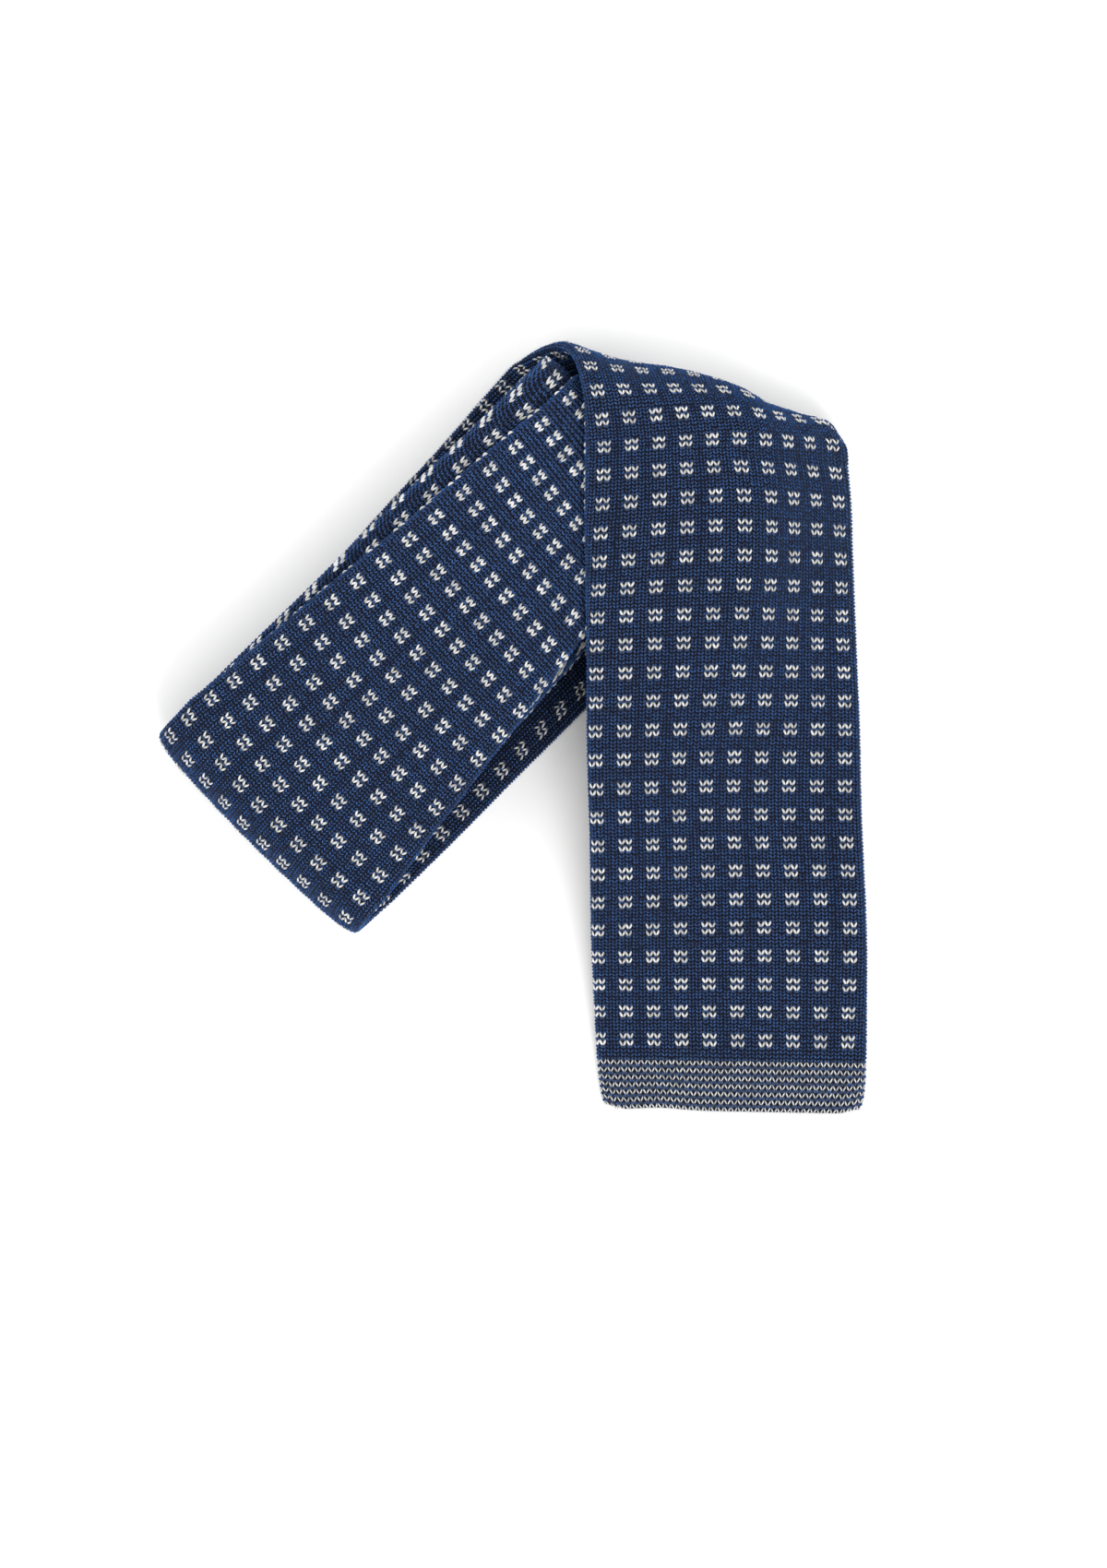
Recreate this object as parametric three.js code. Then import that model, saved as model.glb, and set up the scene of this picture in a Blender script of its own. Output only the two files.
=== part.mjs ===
// A fine-gauge knitted tie, folded and lying flat: a flattened knitted tube with a striped welt.
// Lengths are in millimetres. The plan has x to the right and y up the picture, z is height.
import * as THREE from 'three';

// Knit
const WALL = 1.0;
const SLIT = 0.3;
const TUBE_THICK = 2 * WALL + SLIT;
const HALF_THICK = TUBE_THICK / 2;

// Stack: its middle is at x = 0, y = 0 while it is built, "along" runs to the upper right of the plan
// and "across" to the lower right
const STACK_LENGTH = 102.5;
const LAYER_GAP = 0.2;
const LAYER_PITCH = TUBE_THICK + LAYER_GAP;
const TAIL_SLACK = 0.6;
const TAIL_LEVEL = 4;
const TAIL_SHORT = 8;
const OUTER_FOLD_SWELL = 1.0;

// Blade
const BLADE_WIDTH = 60;
const BLADE_LENGTH = 156.5;
const BLADE_OFFSET = 59.4;
const HEM_SLANT = 0.5;
const HEM_TIP_SHARE = 0.45;
const WELT_LENGTH = 11.6;
const WELT_GAP = 0.3;

// Top fold, where the blade turns under the stack, leaning this much from the crosswise line
const TOP_FOLD_ROOM = 6.2;
const TOP_FOLD_LEAN = 22.5 * Math.PI / 180;

// Drape of the blade off the stack: a long ramp, and a slope to the right of the stack's corner
const EDGE_CLEARANCE = 1.0;
const RAMP_LENGTH = 70;
const RIDGE_SOFTNESS = 8;
const RIDGE_SLOPE = 0.65;
const RIDGE_LENGTH = 60;

// Mesh: section columns from the left edge of the tube to its right edge, and rows along it
const COLUMNS = [-1, -0.62, -0.22, 0.18, 0.44, 0.68, 0.88, 1];
const EDGE_LIFT_SHARE = 0.27;
const BLADE_ROWS = 26;
const WELT_ROWS = 4;
const TOP_FOLD_STEPS = 12;
const FOLD_STEPS = 8;

// Outline of the blade: "at" in shares of its length from the hem, its edges in shares of its width
const BLADE_OUTLINE = [
  { at: 0, left: -0.433, right: 0.488 },
  { at: 0.011, left: -0.448, right: 0.497 },
  { at: 0.036, left: -0.462, right: 0.507 },
  { at: 0.075, left: -0.473, right: 0.513 },
  { at: 0.204, left: -0.493, right: 0.518 },
  { at: 0.334, left: -0.503, right: 0.508 },
  { at: 0.463, left: -0.512, right: 0.493 },
  { at: 0.657, left: -0.517, right: 0.478 },
  { at: 0.787, left: -0.518, right: 0.463 },
  { at: 0.865, left: -0.522, right: 0.458 },
  { at: 0.911, left: -0.522, right: 0.448 },
  { at: 1, left: -0.522, right: 0.433 },
];

// Top fold by section column: its start in shares of the blade's length, its end on the bottom layer
// in shares of the stack's length, its bulge in shares of half the height that it turns through
const TOP_FOLD = [
  { column: -1, start: 1, end: 1.001, bulge: 0.78 },
  { column: -0.62, start: 0.978, end: 1.06, bulge: 0.78 },
  { column: -0.22, start: 0.955, end: 1.12, bulge: 0.97 },
  { column: 0.18, start: 0.943, end: 1.179, bulge: 0.944 },
  { column: 0.44, start: 0.935, end: 1.216, bulge: 0.788 },
  { column: 0.68, start: 0.926, end: 1.249, bulge: 0.762 },
  { column: 0.88, start: 0.916, end: 1.278, bulge: 0.753 },
  { column: 1, start: 0.911, end: 1.296, bulge: 0.468 },
];

// Layers of the stack in the order that the tube runs. The edges, and the bow of the upper left one,
// are in shares of the blade's width from the middle of the stack.
const LAYERS = [
  { level: 0, upperRight: [-0.55, 0.517], lowerLeft: [-0.515, 0.517], bow: 0.017, rows: 6 },
  { level: 8, upperRight: [-0.378, 0.405], lowerLeft: [-0.532, 0.478], bow: 0, rows: 5 },
  { level: 1, upperRight: [-0.378, 0.405], lowerLeft: [-0.508, 0.213], bow: 0, rows: 3 },
  { level: 7, upperRight: [-0.482, 0.218], lowerLeft: [-0.508, 0.213], bow: 0, rows: 4 },
  { level: 2, upperRight: [-0.482, 0.218], lowerLeft: [-0.478, 0.247], bow: 0, rows: 2 },
  { level: 6, upperRight: [-0.437, 0.28], lowerLeft: [-0.478, 0.247], bow: 0, rows: 2 },
  { level: 3, upperRight: [-0.437, 0.28], lowerLeft: [-0.47, 0.33], bow: 0, rows: 2 },
  { level: 5, upperRight: [-0.42, 0.397], lowerLeft: [-0.47, 0.33], bow: 0, rows: 2 },
  { level: 4, upperRight: [-0.42, 0.397], lowerLeft: [-0.453, 0.438], bow: 0, rows: 2 },
];

const mix = (from, to, share) => from + (to - from) * share;

function smoothStep(value) {
  const share = Math.min(1, Math.max(0, value));
  return share * share * (3 - 2 * share);
}

// Value of one column of a table at a position in another, straight between rows
function tableValue(rows, key, position, name) {
  let index = 0;
  while (index < rows.length - 2 && position > rows[index + 1][key]) {
    index += 1;
  }
  const low = rows[index];
  const high = rows[index + 1];
  const share = (position - low[key]) / (high[key] - low[key]);
  return mix(low[name], high[name], Math.min(1, Math.max(0, share)));
}

function planPoint(along, across, height) {
  return new THREE.Vector3((along + across) * Math.SQRT1_2, (along - across) * Math.SQRT1_2, height);
}

// Height of the middle of the tube on a level of the stack
function levelHeight(level) {
  const slack = level > TAIL_LEVEL ? TAIL_SLACK : 0;
  return HALF_THICK + level * LAYER_PITCH + slack;
}

const FLOOR_HEIGHT = levelHeight(0);
const BLADE_HEIGHT = levelHeight(LAYERS.length);
const FULL_DROP = BLADE_HEIGHT - FLOOR_HEIGHT;

// Corner of the stack that carries the blade, at the fold of the top layer
const TOP_LAYER = LAYERS[1];
const TOP_LAYER_TURN = (levelHeight(TOP_LAYER.level) - levelHeight(LAYERS[2].level)) / 2;
const CORNER_ALONG = STACK_LENGTH / 2 + TOP_LAYER_TURN + HALF_THICK;
const CORNER_ACROSS = TOP_LAYER.upperRight[1] * BLADE_WIDTH;
const CORNER = planPoint(CORNER_ALONG, CORNER_ACROSS, BLADE_HEIGHT);

// Height of the blade: level on the stack, then down the ramp and the slope
function drapeHeight(x, y) {
  const across = (x - y) * Math.SQRT1_2;
  const rampShare = smoothStep((across - CORNER_ACROSS - EDGE_CLEARANCE) / RAMP_LENGTH);
  const past = Math.max(0, x - CORNER.x);
  const straightPast = past - RIDGE_SOFTNESS / 2;
  const run = past < RIDGE_SOFTNESS ? past * past / (2 * RIDGE_SOFTNESS) : straightPast;
  const slope = RIDGE_SLOPE * smoothStep((y - CORNER.y) / RIDGE_LENGTH + 1);
  return FLOOR_HEIGHT + FULL_DROP * (1 - rampShare) * (1 - run * slope / FULL_DROP);
}

// The blade's left edge meets the top fold a little past the end of the stack
const FOLD_LEFT_X = BLADE_OFFSET + BLADE_OUTLINE[BLADE_OUTLINE.length - 1].left * BLADE_WIDTH + HALF_THICK;
const FOLD_LEFT_Y = (STACK_LENGTH / 2 + TOP_FOLD_ROOM) * Math.SQRT2 - FOLD_LEFT_X;

// Point in the middle of the blade's thickness, for a column from -1 to 1, kept half a thickness in
function bladePoint(column, at) {
  const left = tableValue(BLADE_OUTLINE, 'at', at, 'left') * BLADE_WIDTH + HALF_THICK;
  const right = tableValue(BLADE_OUTLINE, 'at', at, 'right') * BLADE_WIDTH - HALF_THICK;
  const x = BLADE_OFFSET + mix(left, right, (column + 1) / 2);
  const y = FOLD_LEFT_Y - BLADE_LENGTH * (1 - at);
  return new THREE.Vector3(x, y, drapeHeight(x, y));
}

const hemAt = (column) => HEM_SLANT * (1 - column) / BLADE_LENGTH;
const foldStartAt = (column) => tableValue(TOP_FOLD, 'column', column, 'start');

function bladeMiddleLength() {
  return (foldStartAt(0) - hemAt(0)) * BLADE_LENGTH;
}

// Row of the blade at a distance from the hem, turning into the line of the top fold's start
function bladeRow(fromHem) {
  const share = fromHem / bladeMiddleLength();
  return COLUMNS.map((column) => bladePoint(column, mix(hemAt(column), foldStartAt(column), share)));
}

// Across position of a column between the two edges of a layer
function layerAcross(edges, column) {
  const first = edges[0] * BLADE_WIDTH + HALF_THICK;
  const last = edges[1] * BLADE_WIDTH - HALF_THICK;
  return mix(first, last, (column + 1) / 2);
}

function layerRow(edges, along, level) {
  return COLUMNS.map((column) => planPoint(along, layerAcross(edges, column), levelHeight(level)));
}

// Row round the top fold: half a turn down to the bottom layer, drifting to the left on the way
function topFoldRow(step) {
  const share = step / TOP_FOLD_STEPS;
  const angle = Math.PI * share;
  return COLUMNS.map((column) => {
    const start = bladePoint(column, foldStartAt(column));
    const endAlong = STACK_LENGTH * (tableValue(TOP_FOLD, 'column', column, 'end') - 0.5);
    const end = planPoint(endAlong, layerAcross(LAYERS[0].upperRight, column), FLOOR_HEIGHT);
    const bulgeShare = tableValue(TOP_FOLD, 'column', column, 'bulge');
    const bulge = bulgeShare * FULL_DROP / 2 * Math.sin(angle);
    const point = start.clone().lerp(end, share);
    point.x += bulge * Math.sin(TOP_FOLD_LEAN);
    point.y += bulge * Math.cos(TOP_FOLD_LEAN);
    point.z = mix(start.z, end.z, (1 - Math.cos(angle)) / 2);
    return point;
  });
}

// Rows between the two ends of a layer, both ends left out, with the upper left edge bowed in
function rowsBetween(firstRow, lastRow, layer) {
  const rows = [];
  for (let index = 1; index <= layer.rows; index += 1) {
    const share = index / (layer.rows + 1);
    const bow = layer.bow * BLADE_WIDTH * 4 * share * (1 - share);
    rows.push(firstRow.map((point, column) => {
      const bowHere = planPoint(0, bow * (1 - COLUMNS[column]) / 2, 0);
      return point.clone().lerp(lastRow[column], share).add(bowHere);
    }));
  }
  return rows;
}

// Rows of a half turn from one level to another, bulging out along the stack (side is 1 or -1)
function foldRows(firstRow, lastRow, side, swell) {
  const radius = Math.abs(firstRow[0].z - lastRow[0].z) / 2;
  const rows = [];
  for (let step = 1; step < FOLD_STEPS; step += 1) {
    const share = step / FOLD_STEPS;
    const angle = Math.PI * share;
    rows.push(firstRow.map((point, column) => {
      const next = point.clone().lerp(lastRow[column], share);
      next.z = mix(point.z, lastRow[column].z, (1 - Math.cos(angle)) / 2);
      const reach = radius + swell * (1 - COLUMNS[column] ** 2);
      return next.add(planPoint(side * reach * Math.sin(angle), 0, 0));
    }));
  }
  return rows;
}

// Every row of the tube after the top fold: the bottom layer first, then in and out to the tail
function stackRows() {
  const rows = [];
  let lastRow = topFoldRow(TOP_FOLD_STEPS);
  LAYERS.forEach((layer, index) => {
    const side = index % 2 === 0 ? 1 : -1;
    const edges = side > 0 ? [layer.upperRight, layer.lowerLeft] : [layer.lowerLeft, layer.upperRight];
    if (index > 0) {
      const startRow = layerRow(edges[0], side * STACK_LENGTH / 2, layer.level);
      const swell = index === 1 ? OUTER_FOLD_SWELL : 0;
      rows.push(...foldRows(lastRow, startRow, side, swell), startRow);
      lastRow = startRow;
    }
    const short = index === LAYERS.length - 1 ? TAIL_SHORT : 0;
    const endRow = layerRow(edges[1], -side * (STACK_LENGTH / 2 - short), layer.level);
    rows.push(...rowsBetween(lastRow, endRow, layer), endRow);
    lastRow = endRow;
  });
  return rows;
}

// Directions at one point of the rows: out of the front face, and towards the right edge
function frameAt(rows, row, column) {
  const before = rows[Math.max(0, row - 1)][column];
  const after = rows[Math.min(rows.length - 1, row + 1)][column];
  const left = rows[row][Math.max(0, column - 1)];
  const right = rows[row][Math.min(COLUMNS.length - 1, column + 1)];
  const across = right.clone().sub(left).normalize();
  const out = across.clone().cross(after.clone().sub(before)).normalize();
  return { across, out };
}

// Points of the outer skin round one row: front face, right edge, back face, left edge
function outerRing(rows, row, thick) {
  const half = thick / 2;
  const front = [];
  const back = [];
  rows[row].forEach((point, column) => {
    const { out } = frameAt(rows, row, column);
    front.push(point.clone().addScaledVector(out, half));
    back.unshift(point.clone().addScaledVector(out, -half));
  });
  const edge = (column, side) => [1, -1].map((lift) => {
    const { across, out } = frameAt(rows, row, column);
    const point = rows[row][column].clone().addScaledVector(across, side * half);
    return point.addScaledVector(out, lift * side * EDGE_LIFT_SHARE * thick);
  });
  return [...front, ...edge(COLUMNS.length - 1, 1), ...back, ...edge(0, -1)];
}

// Points of the space between the walls, in the same order as the outer skin
function innerRing(rows, row) {
  const half = SLIT / 2;
  const front = [];
  const back = [];
  rows[row].forEach((point, column) => {
    const { out } = frameAt(rows, row, column);
    front.push(point.clone().addScaledVector(out, half));
    back.unshift(point.clone().addScaledVector(out, -half));
  });
  const tip = (column, side) => {
    const { across } = frameAt(rows, row, column);
    return rows[row][column].clone().addScaledVector(across, side * half);
  };
  return [...front, tip(COLUMNS.length - 1, 1), ...back, tip(0, -1)];
}

// Collects corners and triangles of one closed mesh
function newMesh() {
  const positions = [];
  const triangles = [];
  const addRing = (ring) => ring.map((point) => {
    positions.push(point.x, point.y, point.z);
    return positions.length / 3 - 1;
  });
  const addBand = (near, far) => near.forEach((corner, index) => {
    const next = (index + 1) % near.length;
    triangles.push(corner, near[next], far[next], corner, far[next], far[index]);
  });
  const addFlipped = (corners) => triangles.push(corners[0], corners[2], corners[1]);
  return { positions, triangles, addRing, addBand, addFlipped };
}

// Sides of the tube: outer rings in order, inner rings turned the other way
function addSides(mesh, rings, inward) {
  for (let index = 1; index < rings.length; index += 1) {
    if (inward) {
      mesh.addBand(rings[index], rings[index - 1]);
    } else {
      mesh.addBand(rings[index - 1], rings[index]);
    }
  }
}

// Flat rim between an outer and an inner ring at an open end
function addRim(mesh, outer, inner, atStart) {
  const columns = COLUMNS.length;
  const faces = [];
  const quad = (a, b, c, d) => faces.push([a, b, c], [a, c, d]);
  for (let index = 0; index < columns - 1; index += 1) {
    quad(outer[index], outer[index + 1], inner[index + 1], inner[index]);
    const outerBack = columns + 2 + index;
    const innerBack = columns + 1 + index;
    quad(outer[outerBack], outer[outerBack + 1], inner[innerBack + 1], inner[innerBack]);
  }
  const edge = (outerAt, innerAt) => {
    const outerEnd = (outerAt + 3) % outer.length;
    const innerEnd = (innerAt + 2) % inner.length;
    faces.push([outer[outerAt], outer[outerAt + 1], inner[innerAt]]);
    faces.push([outer[outerAt + 1], inner[innerAt + 1], inner[innerAt]]);
    faces.push([outer[outerAt + 1], outer[outerAt + 2], inner[innerAt + 1]]);
    faces.push([outer[outerAt + 2], inner[innerEnd], inner[innerAt + 1]]);
    faces.push([outer[outerAt + 2], outer[outerEnd], inner[innerEnd]]);
  };
  edge(columns - 1, columns - 1);
  edge(2 * columns + 1, 2 * columns);
  faces.forEach((face) => (atStart ? mesh.addFlipped(face) : mesh.triangles.push(...face)));
}

// Flat end across a whole ring with the same number of corners on its front and back
function addCap(mesh, ring, edgeCorners, atStart) {
  const columns = COLUMNS.length;
  const faces = [];
  const backAt = (column) => ring[columns + edgeCorners + columns - 1 - column];
  for (let column = 0; column < columns - 1; column += 1) {
    faces.push([ring[column], ring[column + 1], backAt(column + 1)]);
    faces.push([ring[column], backAt(column + 1), backAt(column)]);
  }
  const fan = (from) => {
    for (let index = 1; index <= edgeCorners; index += 1) {
      faces.push([ring[from], ring[(from + index) % ring.length], ring[(from + index + 1) % ring.length]]);
    }
  };
  fan(columns - 1);
  fan(2 * columns + edgeCorners - 1);
  faces.forEach((face) => (atStart ? mesh.addFlipped(face) : mesh.triangles.push(...face)));
}

function finishMesh(mesh, name, material) {
  const geometry = new THREE.BufferGeometry();
  geometry.setAttribute('position', new THREE.Float32BufferAttribute(mesh.positions, 3));
  geometry.setIndex(mesh.triangles);
  geometry.computeVertexNormals();
  const result = new THREE.Mesh(geometry, material);
  result.name = name;
  return result;
}

// The spotted tube, open at the welt and at the tail
function spottedTube(material) {
  const rows = [];
  const start = WELT_LENGTH + WELT_GAP;
  for (let index = 0; index <= BLADE_ROWS; index += 1) {
    rows.push(bladeRow(mix(start, bladeMiddleLength(), index / BLADE_ROWS)));
  }
  for (let step = 1; step <= TOP_FOLD_STEPS; step += 1) {
    rows.push(topFoldRow(step));
  }
  rows.push(...stackRows());
  const mesh = newMesh();
  const outer = rows.map((unused, row) => mesh.addRing(outerRing(rows, row, TUBE_THICK)));
  const inner = rows.map((unused, row) => mesh.addRing(innerRing(rows, row)));
  addSides(mesh, outer, false);
  addSides(mesh, inner, true);
  addRim(mesh, outer[0], inner[0], true);
  addRim(mesh, outer[outer.length - 1], inner[inner.length - 1], false);
  return finishMesh(mesh, 'spotted_tube', material);
}

// The striped welt, closed along its hem and open towards the tube
function stripedWelt(material) {
  const hemRows = [bladeRow(0), bladeRow(HALF_THICK / 2)];
  const rows = [...hemRows];
  for (let index = 0; index <= WELT_ROWS; index += 1) {
    rows.push(bladeRow(mix(TUBE_THICK, WELT_LENGTH, index / WELT_ROWS)));
  }
  const thickness = (row) => (row === 0 ? TUBE_THICK * HEM_TIP_SHARE : TUBE_THICK);
  const mesh = newMesh();
  const outer = rows.map((unused, row) => mesh.addRing(outerRing(rows, row, thickness(row))));
  const inner = outer.slice(hemRows.length).map((unused, row) => {
    return mesh.addRing(innerRing(rows, row + hemRows.length));
  });
  addSides(mesh, outer, false);
  addSides(mesh, inner, true);
  addCap(mesh, outer[0], 2, true);
  addCap(mesh, inner[0], 1, false);
  addRim(mesh, outer[outer.length - 1], inner[inner.length - 1], false);
  return finishMesh(mesh, 'striped_welt', material);
}

const navyKnit = new THREE.MeshStandardMaterial({ color: '#2b4170', roughness: 0.95, metalness: 0 });
const stripedKnit = new THREE.MeshStandardMaterial({ color: '#77829b', roughness: 0.95, metalness: 0 });

const part = new THREE.Group();
part.name = 'knit_tie';
part.add(spottedTube(navyKnit));
part.add(stripedWelt(stripedKnit));

// The origin is the middle of the outline, on the floor
const middle = new THREE.Box3().setFromObject(part).getCenter(new THREE.Vector3());
part.children.forEach((piece) => piece.geometry.translate(-middle.x, -middle.y, 0));

export default part;
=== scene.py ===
# %% [markdown]
# # A folded knitted tie
# The real tie is one long tube of fine stocking stitch in navy wool, with small off-white spots and a
# striped welt at its wide end. It lies folded in and out on a table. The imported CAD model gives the
# tube's shape as a smooth flattened band. This lesson knits over it: it finds where every stitch of the
# tube lies, builds the fabric that the stitches sit on, and then lays real V-shaped loops of yarn
# wherever the tie can be seen.

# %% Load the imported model
import math

import bpy
import numpy as np
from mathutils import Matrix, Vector
from mathutils.bvhtree import BVHTree


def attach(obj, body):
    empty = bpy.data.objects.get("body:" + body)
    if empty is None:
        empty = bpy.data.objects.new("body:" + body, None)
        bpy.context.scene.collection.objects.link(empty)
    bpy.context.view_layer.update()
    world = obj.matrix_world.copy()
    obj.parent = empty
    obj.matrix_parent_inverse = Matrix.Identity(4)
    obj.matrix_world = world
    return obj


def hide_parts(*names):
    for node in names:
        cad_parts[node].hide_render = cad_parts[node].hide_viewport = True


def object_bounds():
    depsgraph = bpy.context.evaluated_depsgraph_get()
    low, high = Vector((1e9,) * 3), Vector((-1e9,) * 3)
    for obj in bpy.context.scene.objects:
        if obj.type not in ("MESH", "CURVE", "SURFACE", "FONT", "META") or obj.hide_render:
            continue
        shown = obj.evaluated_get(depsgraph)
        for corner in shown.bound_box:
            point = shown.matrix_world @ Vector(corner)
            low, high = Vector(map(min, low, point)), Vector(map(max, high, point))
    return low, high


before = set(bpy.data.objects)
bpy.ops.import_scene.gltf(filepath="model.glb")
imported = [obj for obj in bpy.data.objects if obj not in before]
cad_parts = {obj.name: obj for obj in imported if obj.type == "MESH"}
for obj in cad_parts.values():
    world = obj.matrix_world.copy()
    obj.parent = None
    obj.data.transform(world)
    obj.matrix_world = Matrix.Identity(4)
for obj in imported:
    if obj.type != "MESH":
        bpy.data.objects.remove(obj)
cad_low, cad_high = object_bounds()
print("CAD box", [round(v, 4) for v in (*cad_low, *cad_high)])

# %% [markdown]
# ## The sizes of the tie
# A knitter works from a gauge: so many stitches across, so many rows along. Everything below is in
# millimetres, and is turned to metres when a mesh is made. The lengths are those of the CAD model, and
# the tables hold shares of them, so one number changes a whole piece.

# %% Sizes
MM = 0.001
THICK = 2.3
HALF = THICK / 2
SLIT = 0.3
BLADE_WIDTH, BLADE_LENGTH, BLADE_OFFSET = 60.0, 156.5, 59.4
HEM_SLANT = 0.5
STACK_LENGTH, LAYER_PITCH, TAIL_SLACK, TAIL_LEVEL, TAIL_SHORT = 102.5, 2.5, 0.6, 4, 8.0
TOP_FOLD_ROOM, TOP_FOLD_LEAN = 6.2, math.radians(22.5)
EDGE_CLEARANCE, RAMP_LENGTH = 1.0, 70.0
RIDGE_SOFTNESS, RIDGE_SLOPE, RIDGE_LENGTH = 8.0, 0.65, 60.0
OUTER_FOLD_SWELL = 1.0

WALES_ROUND = 80
COURSE = 0.7875
SPOT_WALES, SPOT_COURSES = 4, 8
FIRST_SPOT_COURSE = 17
WELT_COURSES = 13

# Blade: place along it from the hem, left edge, right edge (shares of its length and width)
BLADE_OUTLINE = np.array([
    (0, -0.433, 0.488), (0.011, -0.448, 0.497), (0.036, -0.462, 0.507), (0.075, -0.473, 0.513),
    (0.204, -0.493, 0.518), (0.334, -0.503, 0.508), (0.463, -0.512, 0.493), (0.657, -0.517, 0.478),
    (0.787, -0.518, 0.463), (0.865, -0.522, 0.458), (0.911, -0.522, 0.448), (1, -0.522, 0.433)])
# Top fold: column, its start on the blade, its end on the bottom layer, its bulge
TOP_FOLD = np.array([
    (-1, 1, 1.001, 0.78), (-0.62, 0.978, 1.06, 0.78), (-0.22, 0.955, 1.12, 0.97), (0.18, 0.943, 1.179, 0.944),
    (0.44, 0.935, 1.216, 0.788), (0.68, 0.926, 1.249, 0.762), (0.88, 0.916, 1.278, 0.753),
    (1, 0.911, 1.296, 0.468)])
# Layers in the tube's order: level, edges at the upper right end, edges at the lower left end, bow
LAYERS = [
    (0, (-0.57, 0.517), (-0.515, 0.517), 0.018), (8, (-0.378, 0.25), (-0.532, 0.49), 0),
    (1, (-0.378, 0.25), (-0.53, 0.213), 0), (7, (-0.515, 0.218), (-0.53, 0.213), 0),
    (2, (-0.515, 0.218), (-0.478, 0.247), 0), (6, (-0.437, 0.28), (-0.478, 0.247), 0),
    (3, (-0.437, 0.28), (-0.47, 0.33), 0), (5, (-0.42, 0.34), (-0.47, 0.33), 0),
    (4, (-0.42, 0.34), (-0.453, 0.438), 0)]
STACK_CORNER = 0.405
print("stitches round the tube", WALES_ROUND, "courses in 10 cm", round(100 / COURSE))

# %% [markdown]
# ## The path of the tube
# Cloth that is folded keeps its length and only bends, so the shape is described by the middle sheet of
# the tube: a row of points across it, moved along the blade, round the top fold, down the bottom layer
# and in and out through the stack. A simulation could drop a tube on a table, but it would never fold
# the way this one was folded by hand. The rows are therefore placed from tables, as in the CAD model,
# with some edges of the layers read again off the spots.

# %% Helpers for tables and plan positions
COLUMNS = np.linspace(-1, 1, 97)
MIDDLE_COLUMN = len(COLUMNS) // 2


def smooth_value(places, values, at):
    """Value of a table at some places, on a smooth curve through its rows."""
    slopes = np.gradient(values, places)
    index = np.clip(np.searchsorted(places, at, side="right") - 1, 0, len(places) - 2)
    width = places[index + 1] - places[index]
    t = np.clip((at - places[index]) / width, 0, 1)
    start = values[index] * (2 * t**3 - 3 * t**2 + 1) + slopes[index] * width * (t**3 - 2 * t**2 + t)
    return start + values[index + 1] * (3 * t**2 - 2 * t**3) + slopes[index + 1] * width * (t**3 - t**2)


def smooth_step(value):
    share = np.clip(value, 0, 1)
    return share * share * (3 - 2 * share)


def mix(start, end, share):
    return start + (end - start) * share


def plan_point(along, across, height):
    """A point of the stack: "along" runs to the upper right of the plan, "across" to the lower right."""
    along, across, height = np.broadcast_arrays(along, across, height)
    return np.stack([(along + across) / math.sqrt(2), (along - across) / math.sqrt(2), height], axis=-1)


def level_height(level):
    return HALF + level * LAYER_PITCH + (TAIL_SLACK if level > TAIL_LEVEL else 0)


FLOOR_HEIGHT = level_height(0)
FULL_DROP = level_height(len(LAYERS)) - FLOOR_HEIGHT
print("drop from the top of the stack", round(FULL_DROP, 2), "mm")

# %% [markdown]
# ## Blade and top fold
# The blade lies level on the stack and slopes down to the table on its lower right side. Its far end
# rolls over the end of the stack in one soft loop and drifts to the left while it turns under.

# %% Rows of the blade and the top fold
TOP_TURN = (level_height(LAYERS[1][0]) - level_height(LAYERS[2][0])) / 2
CORNER_ACROSS = STACK_CORNER * BLADE_WIDTH
CORNER_X, CORNER_Y, _ = plan_point(STACK_LENGTH / 2 + TOP_TURN + HALF, CORNER_ACROSS, 0.0)
FOLD_LEFT_X = BLADE_OFFSET + BLADE_OUTLINE[-1, 1] * BLADE_WIDTH + HALF
FOLD_LEFT_Y = (STACK_LENGTH / 2 + TOP_FOLD_ROOM) * math.sqrt(2) - FOLD_LEFT_X


def drape_height(x, y):
    """Height of the blade's middle: level on the stack, down a long ramp and past the stack's corner."""
    ramp = smooth_step(((x - y) / math.sqrt(2) - CORNER_ACROSS - EDGE_CLEARANCE) / RAMP_LENGTH)
    past = np.maximum(0, x - CORNER_X)
    run = np.where(past < RIDGE_SOFTNESS, past**2 / (2 * RIDGE_SOFTNESS), past - RIDGE_SOFTNESS / 2)
    slope = RIDGE_SLOPE * smooth_step((y - CORNER_Y) / RIDGE_LENGTH + 1)
    return FLOOR_HEIGHT + FULL_DROP * (1 - ramp) * (1 - run * slope / FULL_DROP)


def blade_row(at):
    """Points across the blade, with a place along it for each column."""
    left = smooth_value(BLADE_OUTLINE[:, 0], BLADE_OUTLINE[:, 1], at) * BLADE_WIDTH + HALF
    right = smooth_value(BLADE_OUTLINE[:, 0], BLADE_OUTLINE[:, 2], at) * BLADE_WIDTH - HALF
    x = BLADE_OFFSET + mix(left, right, (COLUMNS + 1) / 2)
    y = FOLD_LEFT_Y - BLADE_LENGTH * (1 - at)
    return np.stack([x, y, drape_height(x, y)], axis=-1)


def layer_across(edges, columns):
    first, last = edges[0] * BLADE_WIDTH + HALF, edges[1] * BLADE_WIDTH - HALF
    return mix(first, last, (columns + 1) / 2)


hem_at = HEM_SLANT * (1 - COLUMNS) / BLADE_LENGTH
fold_start = smooth_value(TOP_FOLD[:, 0], TOP_FOLD[:, 1], COLUMNS)
BLADE_STEPS, TOP_FOLD_STEPS = 300, 60
blade_places = [mix(hem_at, fold_start, step / BLADE_STEPS) for step in range(BLADE_STEPS + 1)]
rows = [blade_row(at) for at in blade_places]

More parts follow.
